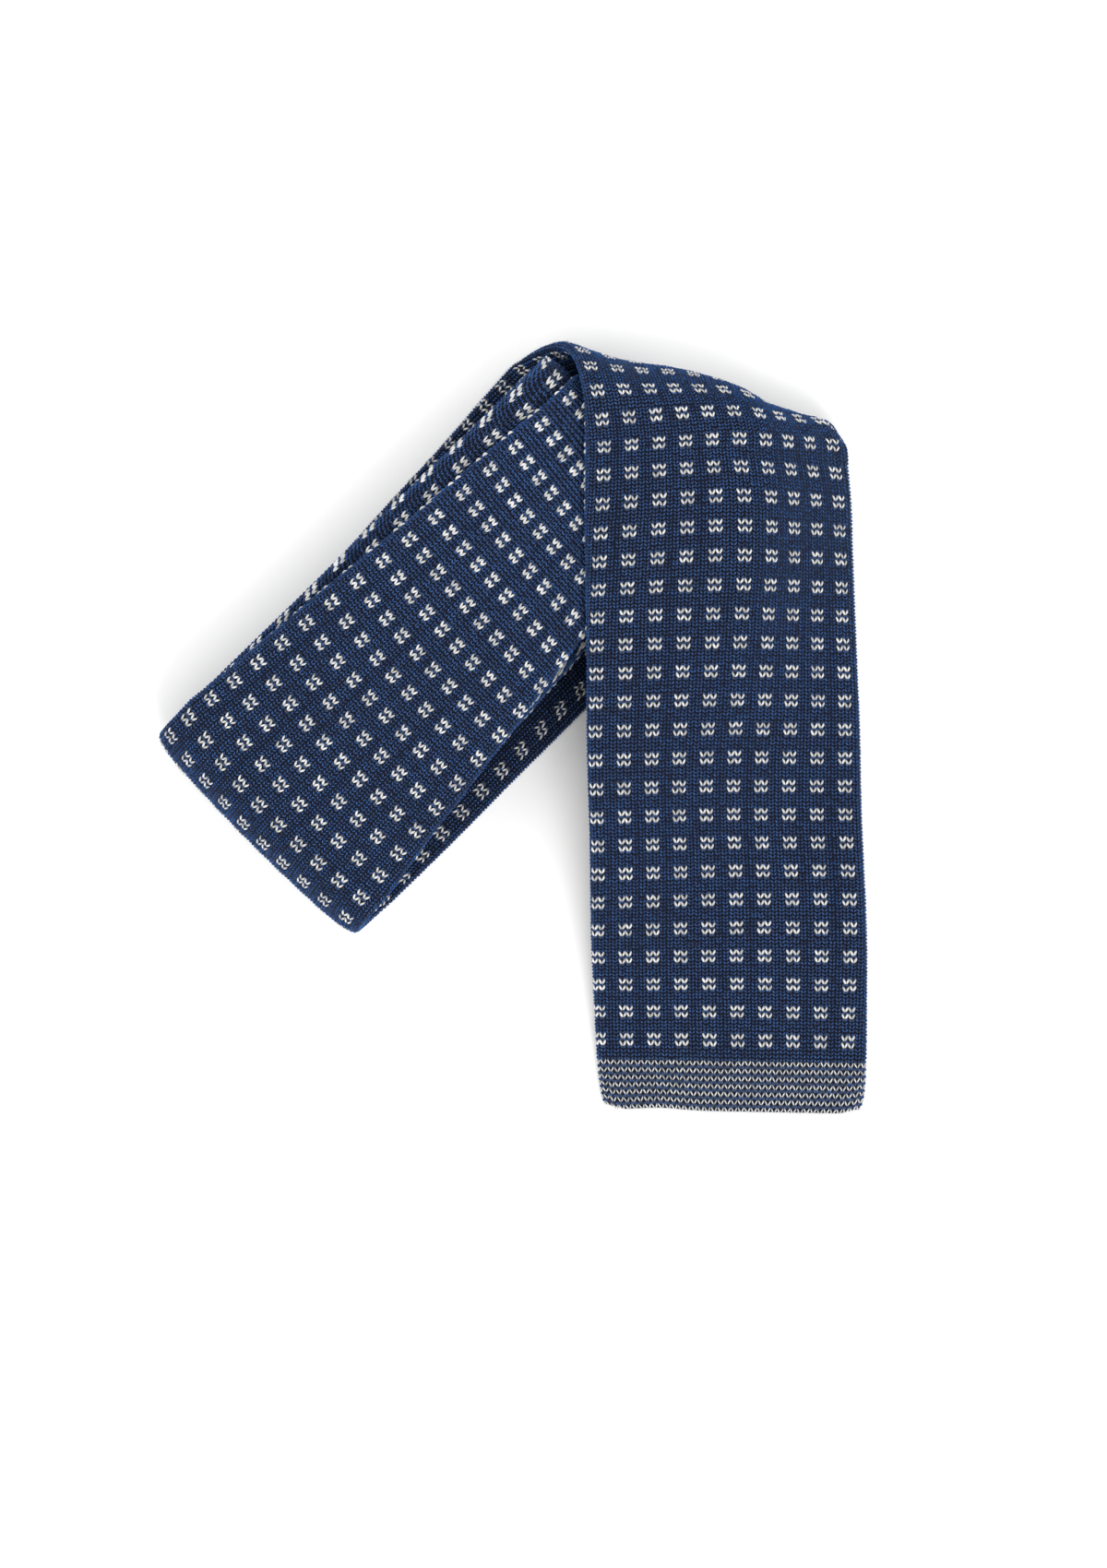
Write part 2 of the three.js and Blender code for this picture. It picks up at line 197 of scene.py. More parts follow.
fold_end = plan_point(STACK_LENGTH * (smooth_value(TOP_FOLD[:, 0], TOP_FOLD[:, 2], COLUMNS) - 0.5),
                      layer_across(LAYERS[0][1], COLUMNS), FLOOR_HEIGHT)
bulge = smooth_value(TOP_FOLD[:, 0], TOP_FOLD[:, 3], COLUMNS) * FULL_DROP / 2
lean = np.array([math.sin(TOP_FOLD_LEAN), math.cos(TOP_FOLD_LEAN), 0])
fold_first = rows[-1]
for step in range(1, TOP_FOLD_STEPS + 1):
    angle = math.pi * step / TOP_FOLD_STEPS
    row = mix(fold_first, fold_end, step / TOP_FOLD_STEPS) + (bulge * math.sin(angle))[:, None] * lean
    row[:, 2] = mix(fold_first[:, 2], FLOOR_HEIGHT, (1 - math.cos(angle)) / 2)
    rows.append(row)
print("rows on the blade and top fold", len(rows))

# %% [markdown]
# ## The stack
# After the top fold the tube runs down the bottom layer, turns up round the thick outer fold and comes
# back on top, and so on inwards until its plain tail ends in the middle of the stack.

# %% Rows of the stack
LAYER_STEPS, FOLD_STEPS = 60, 36
# The edges of the tube draw in a little where it turns
FOLD_CORNER, FOLD_SHARPNESS = 1.0, 12


def layer_end(edges, along, level):
    return plan_point(along, layer_across(edges, COLUMNS), level_height(level))


for index, (level, upper_right, lower_left, bow) in enumerate(LAYERS):
    side = 1 if index % 2 == 0 else -1
    edges = (upper_right, lower_left) if side > 0 else (lower_left, upper_right)
    if index > 0:
        last, start = rows[-1], layer_end(edges[0], side * STACK_LENGTH / 2, level)
        radius = abs(level_height(level) - last[0, 2]) / 2
        fold_swell = OUTER_FOLD_SWELL if index == 1 else 0
        reach = radius + fold_swell * (1 - COLUMNS**2) - FOLD_CORNER * COLUMNS**FOLD_SHARPNESS
        for step in range(1, FOLD_STEPS + 1):
            angle = math.pi * step / FOLD_STEPS
            row = mix(last, start, step / FOLD_STEPS) + plan_point(side * reach * math.sin(angle), 0.0, 0.0)
            row[:, 2] = mix(last[0, 2], level_height(level), (1 - math.cos(angle)) / 2)
            rows.append(row)
    short = TAIL_SHORT if index == len(LAYERS) - 1 else 0
    first, end = rows[-1], layer_end(edges[1], -side * (STACK_LENGTH / 2 - short), level)
    for step in range(1, LAYER_STEPS + 1):
        share = step / LAYER_STEPS
        bow_here = bow * BLADE_WIDTH * 4 * share * (1 - share) * (1 - COLUMNS) / 2
        rows.append(mix(first, end, share) + plan_point(0.0, bow_here, 0.0))
path = np.array(rows)

# %% [markdown]
# ## Counting courses
# A course is one round of stitches. Courses are what the spots and stripes are knitted by, so every
# point of the path gets a course number. On the blade they were read off the spots, which also shows
# how the courses bend where the cloth slopes away. Further on they follow from the length of cloth: a
# tube that is squeezed narrower gets longer by the same share.

# %% Course number of every point of the path
# Courses along the blade's middle: place along it, course number
COURSE_TABLE = np.array([
    (0, 0), (0.0709, 13), (0.101, 18.5), (0.1807, 34.5), (0.261, 50.5), (0.342, 66.5), (0.421, 82.3),
    (0.501, 98.2), (0.582, 114.2), (0.663, 130.3), (0.7434, 146.3), (0.8257, 162.3), (0.9092, 178.4),
    (0.9863, 194.5), (1, 197.2)])
# Courses that the left and right edges run ahead of the middle: place, left, right
BEND_TABLE = np.array([
    (0, 0, 0), (0.1, 0, 0), (0.333, 1.5, 0), (0.46, 1.5, 0), (0.541, 1.5, 0.3), (0.696, 1.9, 0.9),
    (0.853, 2.8, 1.6), (0.942, 2.8, 2.5), (1, 2.4, 3.4)])
# The column from which the courses bend away to both edges, and how sharply they do
CREST, BEND_POWER = 0.13, 1.3
# Courses added in the stack, fewer where negative: place in layers, left edge, middle, right edge
STACK_TABLE = np.array([
    (0, 0, 0, 0), (0.35, -10, -10, -12), (0.625, -23.1, -19.5, -20.8), (0.94, -25.9, -22.1, -24.6),
    (1.04, -26.1, -22.4, -24.5), (1.12, -26.1, -23.3, -24.2), (1.21, -26.3, -23.6, -24.5),
    (1.3, -25.9, -23.6, -23.7), (1.39, -24.8, -23.2, -22.4), (1.485, -24, -21.2, -21.5),
    (1.57, -20.9, -18.2, -16.7), (1.7, -18, -18, -18), (3, -15.1, -18, -18), (3.25, -15.1, -18, -18),
    (3.36, -15.9, -18, -18), (3.47, -16.7, -18, -18), (3.58, -18, -18, -18), (9, -18, -18, -18)])


def blade_courses(at):
    from_hem = (at - hem_at) / (1 - hem_at)
    middle = smooth_value(COURSE_TABLE[:, 0], COURSE_TABLE[:, 1], from_hem)
    left = smooth_value(BEND_TABLE[:, 0], BEND_TABLE[:, 1], at)
    right = smooth_value(BEND_TABLE[:, 0], BEND_TABLE[:, 2], at)
    from_crest = COLUMNS - CREST
    share = np.abs(from_crest) / np.where(from_crest < 0, 1 + CREST, 1 - CREST)
    return middle + np.where(from_crest < 0, left, right) * share**BEND_POWER


courses = np.empty(path.shape[:2])
for step in range(BLADE_STEPS + 1):
    courses[step] = blade_courses(blade_places[step])
tube_width = np.linalg.norm(path[:, -1] - path[:, 0], axis=-1) + THICK
step_length = np.linalg.norm(np.diff(path, axis=0), axis=-1)
gauge = COURSE * BLADE_WIDTH / tube_width[1:, None]
ahead = np.cumsum(step_length[BLADE_STEPS:] / gauge[BLADE_STEPS:], axis=0)
courses[BLADE_STEPS + 1:] = courses[BLADE_STEPS] + ahead
# On the top of the stack the courses run straight across again: the cloth evens out on the bottom layer
bottom = slice(BLADE_STEPS + TOP_FOLD_STEPS + 1, BLADE_STEPS + TOP_FOLD_STEPS + LAYER_STEPS + 1)
top_start = bottom.stop + FOLD_STEPS
uneven = courses[top_start] - courses[top_start, MIDDLE_COLUMN]
courses[bottom] -= uneven * smooth_step(np.arange(LAYER_STEPS) / (LAYER_STEPS - 1))[:, None]
courses[bottom.stop:] -= uneven
layers_in = (np.arange(bottom.start, len(courses)) - bottom.start) / (LAYER_STEPS + FOLD_STEPS)
left, inner, right = (
    smooth_value(STACK_TABLE[:, 0], STACK_TABLE[:, i], layers_in)[:, None] for i in (1, 2, 3))
edge_part = (left * (COLUMNS - 1) * COLUMNS + right * (COLUMNS + 1) * COLUMNS) / 2
courses[bottom.start:] += edge_part + inner * (1 - COLUMNS**2)
COURSE_COUNT = int(courses[-1].min())
print("courses in the tube", COURSE_COUNT)

# %% [markdown]
# ## A map of the knitting
# The path is now resampled so that its rows are courses. Stored as a grid of points with the directions
# "across" and "out of the face", it can be asked for any place on the tube by wale, course and height.

# %% Points and directions by course
COURSE_STEP = 1.0
course_lines = np.arange(0, COURSE_COUNT + COURSE_STEP / 2, COURSE_STEP)
middle = np.empty((len(course_lines), len(COLUMNS), 3))
for column in range(len(COLUMNS)):
    for axis in range(3):
        middle[:, column, axis] = np.interp(course_lines, courses[:, column], path[:, column, axis])
# The wales are even along the cloth, not on the plan, so the columns are spaced by length
for line in range(len(course_lines)):
    length = np.concatenate([[0], np.cumsum(np.linalg.norm(np.diff(middle[line], axis=0), axis=-1))])
    even = np.linspace(0, length[-1], len(COLUMNS))
    middle[line] = np.stack([np.interp(even, length, middle[line, :, axis]) for axis in range(3)], axis=-1)
across = np.gradient(middle, axis=1)
across /= np.linalg.norm(across, axis=-1, keepdims=True)
out = np.cross(across, np.gradient(middle, axis=0))
out /= np.linalg.norm(out, axis=-1, keepdims=True)
# No cloth lies quite straight: two slow waves shift it sideways by a fraction of a millimetre.
# Each wave has a length in courses and a lean across the tube.
RIPPLE, WAVES = 0.09, ((8.3, 1.5), (21, 2.6))
ripple = sum(np.sin(course_lines[:, None] / wave + wave_lean * COLUMNS) for wave, wave_lean in WAVES)
middle += RIPPLE * across * ripple[..., None]
flat_half = np.linalg.norm(np.diff(middle, axis=1), axis=-1).sum(axis=1) / 2
QUARTER = math.pi * HALF / 2
wale_width = (4 * flat_half + 4 * QUARTER) / WALES_ROUND
print("wale", round(float(wale_width[20]), 3), "mm on the blade, at least", round(float(wale_width.min()), 3))


def at_course(values, course):
    """Values between course lines, for a list that holds one value or row per line."""
    place = np.clip(course / COURSE_STEP, 0, len(values) - 1.001)
    low = place.astype(int)
    share = (place - low).reshape(place.shape + (1,) * (values.ndim - 1))
    return values[low] * (1 - share) + values[low + 1] * share


def on_map(grid, course, column):
    """A point or direction of the map, for a course number and a column from -1 to 1."""
    row = np.clip(course / COURSE_STEP, 0, grid.shape[0] - 1.001)
    col = np.clip((column + 1) / 2 * (grid.shape[1] - 1), 0, grid.shape[1] - 1.001)
    r, c = row.astype(int), col.astype(int)
    fr, fc = (row - r)[..., None], (col - c)[..., None]
    near = grid[r, c] * (1 - fc) + grid[r, c + 1] * fc
    far = grid[r + 1, c] * (1 - fc) + grid[r + 1, c + 1] * fc
    return near * (1 - fr) + far * fr


print("the map has", middle.shape[0], "course lines with", middle.shape[1], "points each")

# %% [markdown]
# ## Pulled to one side
# Knitting stretches. Where the blade rolls over the corner of the stack, and a little on top of the
# stack, the cloth is tight and the spot columns crowd towards the left edge. The wales keep their number,
# so the pull is a function that moves a wale round the tube. Its inverse is found by trying again with
# the error taken off.

# %% The pull across the tube
# Course number, wales by which the last spot column of the face is pulled to the left
PULL = np.array([
    (0, 0), (60, 0), (115, 0.35), (150, 1.0), (171, 1.9), (180, 2.3), (187, 3.4), (195, 6.3), (204, 8.0),
    (250, 0), (370, 0), (418, 1.5), (466, 1.5), (482, 1.0), (498, 0.6), (514, 0), (530, 0),
    (COURSE_COUNT, 0)])
PULL_BEND, LAST_COLUMN, PULL_END, PULL_TRIES = 1.2, 38.6, 48.0, 24


def pulled(wale, course):
    """Wales round the tube after the pull, which fades out again past the right edge."""
    share = np.clip(wale / LAST_COLUMN, 0, 1) ** PULL_BEND
    fade = 1 - smooth_step((wale - LAST_COLUMN) / (PULL_END - LAST_COLUMN))
    return wale - np.interp(course, PULL[:, 0], PULL[:, 1]) * share * fade


def unpulled(wale, course):
    """The wale that the pull brings to a place."""
    guess = wale
    for _ in range(PULL_TRIES):
        guess = (guess + wale + guess - pulled(guess, course)) / 2
    return guess


print("largest pull", PULL[:, 1].max(), "wales")

# %% [markdown]
# ## Round the tube
# A tube pressed flat is two straight walls joined by two half circles. Walking round it by wales passes
# the left edge's upper quarter, the front wall, the right edge, the back wall and the left edge's lower
# quarter. One function gives the point and the normal there, and everything knitted later calls it.

# %% The skin of the tube
def skin(wale, course, height):
    """Point and normal at a height above the tube's middle sheet, by wales round it from its left edge."""
    wale, course, height = np.broadcast_arrays(wale, course, height)
    width, half = at_course(wale_width, course), at_course(flat_half, course)
    way = np.mod(pulled(np.mod(wale, WALES_ROUND), course), WALES_ROUND) * width
    ends = [QUARTER + 0 * half, QUARTER + 2 * half, 3 * QUARTER + 2 * half, 3 * QUARTER + 4 * half]
    part = sum((way > end).astype(int) for end in ends)
    turn = np.select([part == 0, part == 2, part == 4],
                     [way - ends[0], way - ends[1], way - ends[3]], 0) / HALF
    column = np.select(
        [part == 0, part == 1, part == 2, part == 3],
        [-1 + 0 * way, (way - ends[0]) / half - 1, 1 + 0 * way, 1 - (way - ends[2]) / half], -1)
    toward = np.select([part == 0, part == 1, part == 2, part == 3],
                       [np.sin(turn), 0 * turn, np.sin(turn), 0 * turn], -np.sin(turn))
    outward = np.select([part == 0, part == 1, part == 2, part == 3],
                        [np.cos(turn), 1 + 0 * turn, np.cos(turn), -1 + 0 * turn], -np.cos(turn))
    side = on_map(across, course, column)
    face = on_map(out, course, column)
    normal = side * toward[..., None] + face * outward[..., None]
    normal /= np.linalg.norm(normal, axis=-1, keepdims=True)
    return on_map(middle, course, column) + normal * height[..., None], normal


# The hem isn't cut by a ruler: its corners draw in, and near the left one it has a small dimple
HEM_CORNER, HEM_SHARPNESS = 0.9, 30
HEM_DIMPLE, DIMPLE_PLACE, DIMPLE_WIDTH = 0.55, -0.6, 0.22
dimple = HEM_DIMPLE * np.exp(-((COLUMNS - DIMPLE_PLACE) / DIMPLE_WIDTH) ** 2)
hem_pull = HEM_CORNER * COLUMNS**HEM_SHARPNESS + dimple
middle[..., 1] += hem_pull * (1 - smooth_step(course_lines / WELT_COURSES))[:, None]
# The map is moved until its right side and its hem meet those of the CAD model
whole_tube = np.meshgrid(np.arange(0, WALES_ROUND, 0.5), course_lines, indexing="ij")
outline = skin(*whole_tube, HALF)[0].reshape(-1, 3)
moved = np.array([cad_high[0] / MM - outline[:, 0].max(), cad_low[1] / MM - outline[:, 1].min()])
middle[..., :2] += moved
print("outline", np.round(outline.max(axis=0) - outline.min(axis=0), 2), "mm, moved by", np.round(moved, 2))

# %% [markdown]
# ## Which wale is which
# Twenty columns of spots run round the tube, four wales apart. The tube has rolled a little between its
# folds, so the first spot column doesn't keep the same distance from the edge all the way along. The
# table gives that distance in wales.

# %% Wale numbers
# Course number, wales from the left edge to the middle of the first spot column
EDGE_WALES = np.array([
    (0, 0.7), (18, 0.8), (42, 1.15), (60, 1.3), (90, 1.4), (115, 1.65), (130, 1.9), (145, 2.2),
    (155, 2.45), (163, 2.65), (171, 2.95), (180, 3.15), (187, 3.2), (195, 2.9), (204, 2.4),
    (290, 3.0), (316, 3.0), (331, 2.75), (362, 2.6), (400, 2.3), (418, 2.2), (434, 2.45),
    (450, 2.8), (466, 3.15), (482, 3.4), (498, 3.6), (530, 3.7), (600, 2.0), (700, 2.0),
    (712, 1.8), (720, 0.9), (729, 0.8), (738, 1.1), (746, 1.2), (754, 1.7), (762, 2.6),
    (775, 3.0), (1180, 3.2), (COURSE_COUNT, 3.2)])


def roll(course):
    """Wales by which the knitting has rolled round the tube at a course."""
    return 1 - smooth_value(EDGE_WALES[:, 0], EDGE_WALES[:, 1], course)


def is_white(wale, course):
    """True where the stitch is off-white, for whole numbers of its wale and course."""
    spot_course = np.isin((course - FIRST_SPOT_COURSE) % SPOT_COURSES, (0, 2)) & (course >= WELT_COURSES)
    spot = (wale % SPOT_WALES < 2) & spot_course
    return spot | ((course < WELT_COURSES) & (course % 2 == 0))


one_repeat = np.meshgrid(np.arange(SPOT_WALES), FIRST_SPOT_COURSE + np.arange(SPOT_COURSES))
print("white stitches in a repeat", int(is_white(*one_repeat).sum()), "of", SPOT_WALES * SPOT_COURSES)

# %% [markdown]
# ## The fabric
# Under the loops of yarn lies the body of the fabric: two knitted walls with a narrow space between
# them. It is a closed mesh, made row by row from the map. Rows stand closer where the tube bends, which
# keeps the folds round without spending faces on the straight layers. Its UV map counts wales and
# courses, so a material can knit on it.

# %% Helpers for meshes
LOOP_DEPTH = 0.22
SKIN = HALF - LOOP_DEPTH


def mesh_piece(name, points, faces, uv=None, tone=None):
    """A piece from points in millimetres and faces of equal size, with a UV for each face corner."""
    points, faces = np.asarray(points), np.asarray(faces)
    mesh = bpy.data.meshes.new(name)
    mesh.vertices.add(len(points))
    mesh.vertices.foreach_set("co", (points * MM).astype(np.float32).ravel())
    mesh.loops.add(faces.size)
    mesh.loops.foreach_set("vertex_index", faces.astype(np.int32).ravel())
    mesh.polygons.add(len(faces))
    mesh.polygons.foreach_set("loop_start", (np.arange(len(faces)) * faces.shape[1]).astype(np.int32))
    mesh.polygons.foreach_set("loop_total", np.full(len(faces), faces.shape[1], np.int32))
    mesh.update(calc_edges=True)
    mesh.validate()
    mesh.shade_smooth()
    if uv is not None:
        layer = mesh.uv_layers.new(name="Knit")
        layer.data.foreach_set("uv", np.asarray(uv, np.float32).ravel())
    if tone is not None:
        layer = mesh.attributes.new("tone", "FLOAT", "POINT")
        layer.data.foreach_set("value", np.asarray(tone, np.float32).ravel())
    piece = bpy.data.objects.new(name, mesh)
    bpy.context.collection.objects.link(piece)
    print(name, "triangles", len(faces) * (faces.shape[1] - 2))
    return piece


def ring_wales(course, count):
    """Wales of the points round the tube at some courses, closer together on its two round edges."""
    edge, face = count // 8, count // 2 - 2 * (count // 8)
    rising = np.linspace(0, 1, edge, endpoint=False)
    quarters = np.concatenate([rising, np.ones(face), 1 + rising])
    halves = np.concatenate([np.zeros(edge), 2 * np.linspace(0, 1, face, endpoint=False), np.full(edge, 2.0)])
    quarters = np.concatenate([quarters, quarters + 2])
    halves = np.concatenate([halves, halves + 2])
    half, width = at_course(flat_half, course)[:, None], at_course(wale_width, course)[:, None]
    return unpulled((quarters * QUARTER + halves * half) / width, course[:, None])


def bands(start, rings, count, flip):
    """Triangles between rings of points, with the ring place and the row of each corner."""
    row, col = (a.ravel() for a in np.meshgrid(np.arange(rings - 1), np.arange(count), indexing="ij"))
    corners = [(row, col), (row, col + 1), (row + 1, col + 1), (row + 1, col)]
    order = [0, 2, 1, 0, 3, 2] if flip else [0, 1, 2, 0, 2, 3]
    lines = np.stack([corners[i][0] for i in order], axis=-1).reshape(-1, 3)
    places = np.stack([corners[i][1] for i in order], axis=-1).reshape(-1, 3)
    return start + lines * count + places % count, places, lines


print("skin lies", round(SKIN, 2), "mm from the middle sheet")

# %% [markdown]
# Two functions make the fabric: one lays a skin of rings, the other closes the ends. The outer skin has
# twice the points of the inner one, because the inner one only bounds the dark space in the tube.

# %% Skins and ends
OUTER, INNER = 64, 32
SWELL, GROOVE, GROOVE_WIDTH = 0.04, 0.04, 0.35


def swell(wale, course):
    """Height of the fabric over its mean: up along the spot columns, down in the groove between them."""
    number = wale + roll(course)
    from_groove = np.mod(number - 1, SPOT_WALES) - SPOT_WALES / 2
    wave = SWELL * np.cos((number - 1) * 2 * math.pi / SPOT_WALES)
    return wave - GROOVE * np.exp(-(from_groove / GROOVE_WIDTH) ** 2)


def lay_skin(lines, count, heights, start, flip):
    """Points, triangles and UVs of rings at some courses."""
    wales = ring_wales(lines, count)
    course = np.repeat(lines[:, None], count, axis=1)
    raised = heights[:, None] + (swell(wales, course) if not flip else 0)
    points, _ = skin(wales, course, raised)
    faces, places, rows_at = bands(start, len(lines), count, flip)
    whole = np.concatenate([wales, np.full((len(lines), 1), WALES_ROUND)], axis=1)
    uv = np.stack([whole[rows_at, places] + roll(lines)[rows_at], lines[rows_at]], axis=-1)
    return points.reshape(-1, 3), faces, uv


def corner_rows(*triangles):
    """A row of three corners for each triangle, from tuples of three lists of corners."""
    return np.concatenate([np.stack(corners, axis=-1) for corners in triangles])


def rim(outer_start, inner_start, course, flip):
    """Flat ring of triangles that joins the two skins at an open end."""
    i = np.arange(INNER)
    o0, o1, o2 = outer_start + 2 * i, outer_start + 2 * i + 1, outer_start + (2 * i + 2) % OUTER
    n0, n1 = inner_start + i, inner_start + (i + 1) % INNER
    faces = corner_rows((o0, o1, n0), (o1, o2, n1), (o1, n1, n0))
    e0, e1, e2 = 2 * i, 2 * i + 1, 2 * i + 2
    around = corner_rows((e0, e1, e0), (e1, e2, e2), (e1, e2, e0))
    uv = np.stack([around * WALES_ROUND / OUTER, np.full(around.shape, float(course))], axis=-1)
    return (faces[:, ::-1], uv[:, ::-1]) if flip else (faces, uv)


def cap(start, count, course, flip):
    """Flat strip of triangles across a ring, from its front to its back."""
    i = np.arange(count // 2)
    front, after, back, back_after = i, i + 1, (count - i) % count, (count - i - 1) % count
    faces = corner_rows((front, after, back_after), (front, back_after, back))
    faces = faces[(faces[:, 0] != faces[:, 2]) & (faces[:, 1] != faces[:, 2])]
    uv = np.stack([faces * WALES_ROUND / count, np.full(faces.shape, float(course))], axis=-1)
    return (start + faces[:, ::-1], uv[:, ::-1]) if flip else (start + faces, uv)


print("points round the tube", OUTER, "outside,", INNER, "inside")

# %% [markdown]
# ## The tube
# Rows are chosen by walking along the courses and skipping as many as the bend allows. The tube starts
# a hair above the welt, so that the two never share a face, and ends open at the hidden tail.

# %% Rows of the tube
TUBE_START, WELT_END, HEM = WELT_COURSES + 0.05, WELT_COURSES - 0.05, 0.15
ROW_TOLERANCE, LONGEST_STEP, CHECKED_COLUMNS = 0.012, 6, 9


def chosen_rows(first, last):
    """Course numbers of rows, as far apart as the bends allow."""
    fine = np.concatenate([[first], np.arange(math.ceil(first + 0.5), last), [last]])
    check = np.linspace(0, len(COLUMNS) - 1, CHECKED_COLUMNS).astype(int) / (len(COLUMNS) - 1) * 2 - 1
    points = np.array([on_map(middle, np.full(len(check), line), check) for line in fine])
    chosen, start = [0], 0
    while start < len(fine) - 1:
        end = start + 1
        while end < len(fine) - 1 and fine[end + 1] - fine[start] <= LONGEST_STEP:
            share = ((fine[start:end + 2] - fine[start]) / (fine[end + 1] - fine[start]))[:, None, None]
            straight = points[start] * (1 - share) + points[end + 1] * share
            if np.linalg.norm(straight - points[start:end + 2], axis=-1).max() > ROW_TOLERANCE:
                break
            end += 1
        chosen.append(end)
        start = end
    return fine[chosen]


tube_lines = chosen_rows(TUBE_START, COURSE_COUNT - 1.0)
outer_points, outer_faces, outer_uv = lay_skin(tube_lines, OUTER, np.full(len(tube_lines), SKIN), 0, False)
inner_start = len(outer_points)
inner_heights = np.full(len(tube_lines), SLIT / 2)
inner_points, inner_faces, inner_uv = lay_skin(tube_lines, INNER, inner_heights, inner_start, True)
first_rim = rim(0, inner_start, tube_lines[0], True)
last_rim = rim(inner_start - OUTER, inner_start + len(inner_points) - INNER, tube_lines[-1], False)
tube = mesh_piece("tube_fabric", np.concatenate([outer_points, inner_points]),
                  np.concatenate([outer_faces, inner_faces, first_rim[0], last_rim[0]]),
                  uv=np.concatenate([outer_uv, inner_uv, first_rim[1], last_rim[1]]))
print("rows", len(tube_lines))

# %% [markdown]
# ## The welt
# The striped welt finishes the wide end. It is a piece of its own, because it is another pattern with
# another material. Its two walls draw together over the last course and close along the hem, as a
# knitted edge does, and the space between them ends before it.

# %% The welt
welt_lines = np.array([HEM, HEM + 0.25, HEM + 0.7, *np.linspace(1.6, WELT_END, 12)])
welt_heights = np.array([0.45, 0.8, 0.96, *np.ones(12)]) * SKIN
slit_lines = np.linspace(2, WELT_END, 6)
w_outer, w_outer_faces, w_outer_uv = lay_skin(welt_lines, OUTER, welt_heights, 0, False)
w_start = len(w_outer)
slit_heights = np.full(len(slit_lines), SLIT / 2)
w_inner, w_inner_faces, w_inner_uv = lay_skin(slit_lines, INNER, slit_heights, w_start, True)
hem_cap = cap(0, OUTER, HEM, True)
slit_cap = cap(w_start, INNER, slit_lines[0], False)
welt_rim = rim(w_start - OUTER, w_start + len(w_inner) - INNER, WELT_END, False)
welt = mesh_piece("welt_fabric", np.concatenate([w_outer, w_inner]),
                  np.concatenate([w_outer_faces, w_inner_faces, hem_cap[0], slit_cap[0], welt_rim[0]]),
                  uv=np.concatenate([w_outer_uv, w_inner_uv, hem_cap[1], slit_cap[1], welt_rim[1]]))

# %% [markdown]
# ## Where the tie can be seen
# The tube has over a hundred thousand stitches, and most of them lie inside the stack. A loop of
# yarn is only worth its faces where someone can look at it, so rays are sent from each stitch to the
# sky: straight up, and all round at two heights. A stitch with one free ray gets its loops.

# %% Stitches in sight
RAY_LIFT, GRAZING = 0.15, 0.15
SKY = np.radians([(0.0, 90)] + [(azimuth, height) for height in (60, 30) for azimuth in range(0, 360, 45)])
sky = np.array([(math.cos(h) * math.cos(a), math.cos(h) * math.sin(a), math.sin(h)) for a, h in SKY])
tree = BVHTree.FromPolygons(
    np.concatenate([outer_points, w_outer]).tolist(),
    np.concatenate([outer_faces, w_outer_faces + len(outer_points)]).tolist())
wale_numbers, line_numbers = (
    numbers.ravel() for numbers in np.meshgrid(np.arange(WALES_ROUND), np.arange(COURSE_COUNT - 1)))
place = wale_numbers + 0.5 - roll(line_numbers + 0.5)
spot_on_skin, spot_normal = skin(place, line_numbers + 0.5, HALF + RAY_LIFT)
facing = spot_normal @ sky.T > GRAZING
seen = np.zeros(len(place), bool)
sky_vectors = [Vector(ray) for ray in sky]
for index in np.nonzero(facing.any(axis=1))[0]:
    origin = Vector(spot_on_skin[index])
    for ray in np.nonzero(facing[index])[0]:
        if tree.ray_cast(origin, sky_vectors[ray])[0] is None:
            seen[index] = True
            break
white = is_white(wale_numbers, line_numbers)
print("stitches", len(seen), "in sight", int(seen.sum()), "of them white", int((seen & white).sum()))

# %% [markdown]
# ## Loops of yarn
# On its face, stocking stitch shows each stitch as a V that points down towards the hem. Each leg of the
# V is a short stretch of yarn that comes up out of the fabric, swells, leans outward and dives in again.
# The two legs are modelled once as a row of rings, from tip to tip, and repeated for every stitch in
# sight with small differences in place, thickness and tone, as no hand or machine knits two alike.

# %% Shapes of a leg
# Along the leg: wales out from the stitch's middle, courses from its middle, height over the skin, radius
NAVY_LEG = np.array([(0.06, -0.44, -0.20, 0), (0.13, -0.20, 0.07, 0.15), (0.24, 0.05, 0.14, 0.18),
                     (0.35, 0.30, 0.07, 0.15), (0.43, 0.54, -0.20, 0)])
# With one ring less, for the sides of the stack: the two rings left draw together and thicken
SIMPLE_LEG = NAVY_LEG[[0, 1, 3, 4]] + np.array([
    (0, 0, 0, 0), (0.03, 0.1, 0.03, 0.02), (-0.03, -0.1, 0.03, 0.02), (0, 0, 0, 0)])
WHITE_LEG = np.array([(0.06, -0.70, -0.20, 0), (0.11, -0.47, 0.08, 0.16), (0.20, -0.11, 0.19, 0.25),
                      (0.31, 0.31, 0.19, 0.24), (0.385, 0.68, 0.06, 0.14), (0.41, 0.92, -0.20, 0)])
# In the stripes of the welt the off-white stitches lie flatter and thinner than in the spots
WELT_LEG = WHITE_LEG * (1, 0.9, 0.7, 0.56)
print("thickest yarn", 2 * NAVY_LEG[:, 3].max(), "mm navy,", 2 * WHITE_LEG[:, 3].max(), "mm off-white")

# %% [markdown]
# All the loops of one kind make one mesh. A leg is a tube of three or four sides that closes to a point
# at each end, inside the fabric. The small differences are drawn from one seeded generator: how far a
# whole stitch sits off its place, how far one leg does, how thick it is, and how light.

# %% One mesh of many legs
LOOSE_COURSE, LOOSE_WALE, LOOSE_LIFT = 0.06, 0.025, 0.018
LEG_OFF, RADIUS_OFF = 0.012, 0.06
TONE_SPREAD, TONE_LOOSE = 0.24, 0.14
random = np.random.default_rng(7)


